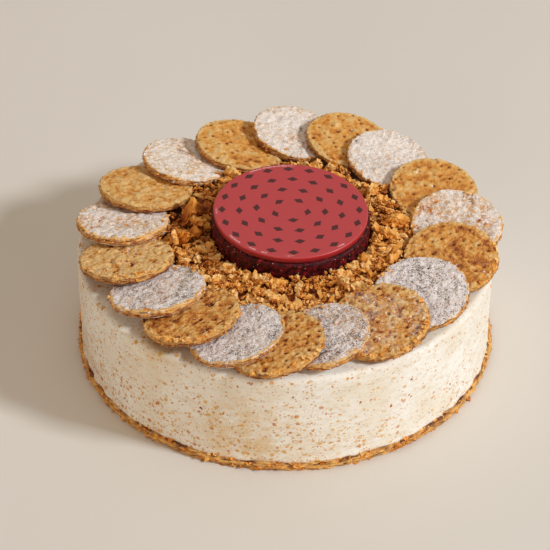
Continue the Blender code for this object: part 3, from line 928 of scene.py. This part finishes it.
def sliverShape(chance):  # a long thin piece of two layers
    bm = bmesh.new()
    for level in range(2):
        plate(bm, chance, (5, 1), 0.04, chance.uniform(0.16, 0.3), level * 0.06)
    return shape(bm)


def grainShape(chance):  # a rough crumb, about 1 wide
    bm = bmesh.new()
    bm.verts.layers.float.new("tone")
    bmesh.ops.create_icosphere(bm, subdivisions=1, radius=0.5)
    for vert in bm.verts:
        vert.co *= chance.uniform(0.6, 1.15)
    bm.transform(Matrix.Diagonal((1, chance.uniform(0.6, 1), chance.uniform(0.5, 0.9), 1)))
    return shape(bm)


def tumbled(chance, steep, up=Vector((0, 0, 1))):  # a random turn, no steeper than told
    spin = Matrix.Rotation(chance.uniform(0, tau), 3, "Z")
    return up.to_track_quat("Z", "Y").to_matrix() @ spin @ tipped(chance, steep)


def tipped(chance, steep):
    tip = Matrix.Rotation(steep * chance.triangular(-1, 1), 3, "X")
    return tip @ Matrix.Rotation(steep * chance.triangular(-1, 1), 3, "Y")


def laid(chance, along, up, steep):  # long side along, face up, give or take a tip
    across = up.cross(along).normalized()
    return Matrix((across.cross(up), across, up)).transposed() @ tipped(chance, steep)


def joined(name, shapes, copies, material):  # copies: (shape, place, turn, size, tone)
    points, faces, tones, start = [], [], [], 0
    for which, place, turn, size, tone in copies:
        corners, sides, shades = shapes[which % len(shapes)]
        points.append(corners @ np.array(turn).T * size + np.array(place))
        faces.append(sides + start)
        tones.append(shades + tone)
        start += len(corners)
    points = np.concatenate(points)
    points[:, 2] = np.maximum(points[:, 2], 0)
    mesh = bpy.data.meshes.new(name)
    mesh.from_pydata(points, [], np.concatenate(faces))
    mesh.attributes.new("tone", "FLOAT", "POINT").data.foreach_set("value", np.concatenate(tones))
    shown(mesh, material)
    mesh.set_sharp_from_angle(angle=radians(38))


def isFree(place, size, share=0.25, on=None):  # clear of the jelly and of the rounds but one
    if hypot(place.x - jellyMiddle.x, place.y) < jellyRadius + share * size or place.z < creamTop:
        return False
    for disc in rounds:
        away, rise = disc.under(place)
        if disc is not on and away < disc.radius + share * size and rise > -disc.half - 0.3 * size:
            return False
    return True


def heapPlace(chance, size, depth):  # somewhere on the heap, so far under its top
    angle = chance.uniform(0, tau)
    inner, outer = innerReach(angle, 0.3 * size), outerReach(angle, 2 * mm)
    reach = sqrt(chance.uniform(inner ** 2, outer ** 2))
    x, y = reach * cos(angle), reach * sin(angle)
    return Vector((x, y, creamTop + heapTop(x, y, (reach - inner) / (outer - inner)) - depth))


def heapLumps(chance):  # places and sizes of the lumps, the big ones first
    lumps = []
    for kind, tight in (("leafyLumps", 0.36), ("bigLumps", 0.4), ("smallLumps", 0.35)):
        count, small, big = crumbs[kind]
        wanted, tries = len(lumps) + count, 0
        while len(lumps) < wanted and tries < crumbs["tries"]:
            tries += 1
            size = chance.triangular(small, big, small) * mm
            place = heapPlace(chance, size, 0.34 * size + chance.uniform(-1.3, 1.9) * mm)
            crowded = any((place - other).xy.length < tight * (size + wide) for other, wide, _ in lumps)
            if not crowded and isFree(place, size, 0.38):
                lumps.append((place, size, kind))
    return lumps


def scatterHeap(material):
    chance, look = random.Random(seed), crumbs
    shapes = {
        "bigLumps": [lumpShape(chance, 4) for _ in range(16)],
        "leafyLumps": [leafyShape(chance) for _ in range(20)],
        "smallLumps": [lumpShape(chance, 3) for _ in range(16)],
        "flakes": [flakeShape(chance) for _ in range(18)],
        "slivers": [sliverShape(chance) for _ in range(12)],
        "grains": [grainShape(chance) for _ in range(10)],
    }
    shapes["filler"] = shapes["flakes"]
    copies = {kind: [] for kind in shapes}
    for place, wide, kind in heapLumps(chance):
        # painted shadow: darker towards the back, and darker still left of the plaque where its shadow falls
        shade = chance.gauss(0.65, 0.11) - 1.5 * place.y - 0.24 * (place.x < -38 * mm and place.y > -14 * mm)
        copies[kind].append((chance.randrange(99), place, tumbled(chance, 0.6), wide, shade))
        loose = (("flakes", look["flakes"] * (wide / mm) ** 2 / 3, "flakeSize"), ("grains", 1, "grainSize"))
        for part, number, sizes in loose:
            for _ in range(round(number)):
                size = chance.triangular(*look[sizes]) * mm
                turn, high = chance.uniform(0, tau), chance.uniform(-0.1, 1)
                flat = sqrt(1 - high * high)
                way = Vector((flat * cos(turn), flat * sin(turn), high))
                spot = place + Vector((way.x, way.y, way.z * 0.62)) * wide * chance.uniform(0.36, 0.54)
                if isFree(spot, size):
                    # flakes higher on a lump are painted lighter: painted light
                    tone = shade + chance.gauss(-0.04, 0.12) + 0.22 * high
                    copies[part].append((chance.randrange(99), spot, tumbled(chance, 0.9, way), size, tone))
    # the filler lies deep with a dark tone: painted shade in the gaps between lumps
    while len(copies["filler"]) < look["filler"]:
        size = chance.uniform(*look["fillerSize"]) * mm
        place = heapPlace(chance, size, chance.uniform(1.8, 4.0) * mm)
        if isFree(place, size):
            copies["filler"].append(
                (chance.randrange(99), place, tumbled(chance, 1.2), size, chance.gauss(0.34, 0.15))
            )
    for disc in rounds:  # a few lie on the inner edge of each round
        for _ in range(look["strays"]):
            size, turn = chance.triangular(*look["straySize"]) * mm, pi + chance.gauss(0, 0.55)
            way = ways(turn, Vector(disc.out), Vector(disc.side))[0]
            place = Vector(disc.middle) + way * (disc.radius - abs(chance.gauss(0, 2.4)) * mm)
            place += Vector(disc.up) * (disc.half + 0.22 * size)
            if isFree(place, size, 0.4, disc):
                kind, lie = "flakes" if size > 2 * mm else "grains", tumbled(chance, 0.5, Vector(disc.up))
                copies[kind].append((chance.randrange(99), place, lie, size, chance.gauss(0.6, 0.12)))
    while len(copies["slivers"]) < look["slivers"]:
        size = chance.triangular(*look["sliverSize"]) * mm
        place = heapPlace(chance, size, chance.uniform(-0.3, 1.0) * mm)
        if isFree(place, size, 0.4):
            copies["slivers"].append(
                (chance.randrange(99), place, tumbled(chance, 0.5), size, chance.gauss(0.6, 0.12))
            )
    for name, kind in (
        ("crumbLumps", "bigLumps"), ("crumbLeaves", "leafyLumps"), ("crumbBits", "smallLumps"),
        ("crumbFlakes", "flakes"), ("crumbGrains", "grains"), ("crumbFiller", "filler"),
        ("crumbSlivers", "slivers"),
    ):
        joined(name, shapes[kind], copies[kind], material)


def longPieces(material):  # the few long, bent layers that lie on the heap
    chance = random.Random(seed + 4)
    shapes, copies = [], []
    for number, (x, y, angle, length, width, tone) in enumerate(crumbs["longPieces"]):
        bm = bmesh.new()
        for level in range(4):
            share = chance.uniform(0.7, 1)
            plate(bm, chance, (12, 5), 0.5 / length, width * share, level * 0.8 / length, 0.2)
        rippled(bm, chance, -0.5, 1.0, 0.24)
        shapes.append(shape(bm))
        place = Vector((x, y, 0)) * mm
        place.z = creamTop + heapTop(place.x, place.y, 0.5) + 0.2 * mm
        turn = Matrix.Rotation(radians(angle), 3, "Z") @ tipped(chance, 0.12)
        copies.append((number, place, turn, length * mm, tone))
    joined("crumbLongPieces", shapes, copies, material)


def scatterRims(material):  # loose flakes along the rims of the rounds and of the sheet
    chance, look = random.Random(seed + 2), pastryRounds
    shapes = [flakeShape(chance, 0.06) for _ in range(8)] + [sliverShape(chance) for _ in range(8)]
    copies = ([], [])
    for number, disc in enumerate(rounds, 1):
        middle, out, side, up = [Vector(part) for part in (disc.middle, disc.out, disc.side, disc.up)]
        for _ in range(look["rimFlakes"]):
            size, turn = chance.triangular(*look["rimFlakeSize"]) * mm, chance.uniform(0, tau)
            way, along = ways(turn, out, side)
            reach = disc.radius + chance.uniform(-0.6, 0.0) * mm
            level = chance.uniform(-0.9, 0.7)
            place = middle + way * reach + up * disc.half * level
            face = (up + way * chance.uniform(-0.2, 0.5)).normalized()
            # flakes higher on the rim are painted lighter: painted light
            tone = chance.gauss(0.52 + 0.16 * level, 0.13)
            which, lie = chance.randrange(99), laid(chance, along, face, 0.25)
            copies[number % 2].append((which, place, lie, size, tone))
        for turn, spread, count in look["torn"].get(number, ()):
            for _ in range(count):
                spin = radians(chance.gauss(turn, spread)) - disc.angle
                size = chance.triangular(*look["tornSize"]) * mm
                way, along = ways(spin, out, side)
                place = middle + way * (disc.radius - abs(chance.gauss(0.2, 1.1)) * mm)
                place += up * (disc.half + chance.uniform(-0.2, 0.2) * mm)
                lie = laid(chance, along, (up + way * 0.2).normalized(), 0.35)
                copies[number % 2].append((chance.randrange(99), place, lie, size, chance.gauss(0.7, 0.16)))
    for name, sort, slot in (("Plain", 0, "plain_pastry"), ("Sugared", 1, "sugared_pastry")):
        joined("rimFlakes" + name, shapes, copies[sort], material)
    around = []
    for _ in range(pastrySheet["flakes"]):
        size, turn = chance.triangular(*pastrySheet["flakeSize"]) * mm, chance.uniform(0, tau)
        way, along = ways(turn)
        level = chance.uniform(0.06, 1.08)
        reach = (sheetHigh.x - sheetLow.x) / 2 - chance.uniform(0.3, 1.3) * mm - 0.8 * mm * (level > 0.85)
        place = way * reach + Vector((0, 0, sheetHigh.z * level))
        lie = laid(chance, along, (Vector((0, 0, 1)) + way * chance.uniform(-0.1, 0.5)).normalized(), 0.2)
        around.append((chance.randrange(99), place, lie, size, chance.gauss(0.5, 0.22)))
    joined("sheetFlakes", shapes, around, material)


def scatterFlecks(material):  # bits of pastry pressed in the ice cream
    chance = random.Random(seed + 1)
    shapes, copies = [grainShape(chance) for _ in range(8)] + [flakeShape(chance) for _ in range(6)], []
    for _ in range(iceCream["flecks"]):
        way, high = ways(chance.uniform(0, tau))[0], chance.random() ** 1.5
        size = chance.triangular(*iceCream["fleckSize"]) * mm
        level = creamLow.z + 1 * mm + high * (creamTop - creamLow.z - 3 * mm)
        place = way * (creamRadius + 0.1 * mm - 0.32 * size) + Vector((0, 0, level))
        copies.append((chance.randrange(99), place, tumbled(chance, 0.4, way), size, chance.gauss(0.48, 0.2)))
    joined("creamFlecks", shapes, copies, material)


# floor, lights and camera

stage = {
    "floor": ("e9e2d8", "e3dcd1"),
    "key": (-20, 35, 4.0, 0.55, 120.0, "edf6ff"),    # turn and rise in degrees, metres off, width, watts
    "front": (-110, 16, 2.4, 1.4, 9.0, "fff0e0"),
    "top": (90, 75, 1.6, 1.3, 2.0, "eef4ff"),
    "sky": ("fbe8d2", 0.40),
}
camera = {
    "tilt": 38.52,          # degrees down
    "away": 1.1,            # metres from the middle of the cake's underside
    "aside": (-5.39 * mm, 29.15 * mm),
    "pixels": 2006,         # focal length in pixels of the frame
    "frame": 550,
    "sensor": 36,           # in mm
}


def areaLight(name, turn, tilt, away, width, power, shade):
    turn, tilt = radians(turn), radians(tilt)
    way = Vector((cos(turn) * cos(tilt), sin(turn) * cos(tilt), sin(tilt)))
    data = bpy.data.lights.new(name, "AREA")
    data.size, data.energy, data.color = width, power, tint(shade)[:3]
    lamp = placed(name, data)
    lamp.location = way * away + Vector((0, 0, 0.04))
    lamp.rotation_euler = way.to_track_quat("Z", "Y").to_euler()


def setStage():
    bm = bmesh.new()
    bmesh.ops.create_grid(bm, x_segments=4, y_segments=4, size=3)
    mesh = bpy.data.meshes.new("floor")
    bm.to_mesh(mesh)
    bm.free()
    made = Finish("floorPaint", {"Roughness": 0.6})
    made.plug(made.shader.inputs["Base Color"], made.mix(made.noise(400, 2).ease(0.3, 0.7), *stage["floor"]))
    mesh.materials.append(made.material)
    floor = placed("floor", mesh)
    for side in ("key", "front", "top"):
        areaLight(side + "Light", *stage[side])
    world = bpy.data.worlds.new("room")
    bpy.context.scene.world = world
    world.use_nodes = True
    sky = world.node_tree.nodes["Background"]
    sky.inputs["Color"].default_value = tint(stage["sky"][0])
    sky.inputs["Strength"].default_value = stage["sky"][1]
    bpy.context.scene.view_settings.view_transform = "Standard"


def setCamera():
    tilt = radians(camera["tilt"])
    right, back = Vector((1, 0, 0)), Vector((0, -cos(tilt), sin(tilt)))
    up = back.cross(right)
    place = back * camera["away"] + right * camera["aside"][0] + up * camera["aside"][1]
    data = bpy.data.cameras.new("photoCamera")
    data.sensor_width, data.clip_start = camera["sensor"], 0.01
    data.lens = camera["pixels"] * camera["sensor"] / camera["frame"]
    made = placed("photoCamera", data)
    made.matrix_world = Matrix.Translation(place) @ Matrix((right, up, back)).transposed().to_4x4()
    bpy.context.scene.camera = made


setCamera()
setStage()
print("stage set")
iceCreamDrum()
pastrySheetPiece()
layRounds()
jellyDisc()
plaquePiece()
crumbMaterial = crumbFinish()
heapCore(crumbMaterial)
scatterHeap(crumbMaterial)
longPieces(crumbMaterial)
scatterRims(crumbMaterial)
scatterFlecks(crumbMaterial)
print("cake dressed")
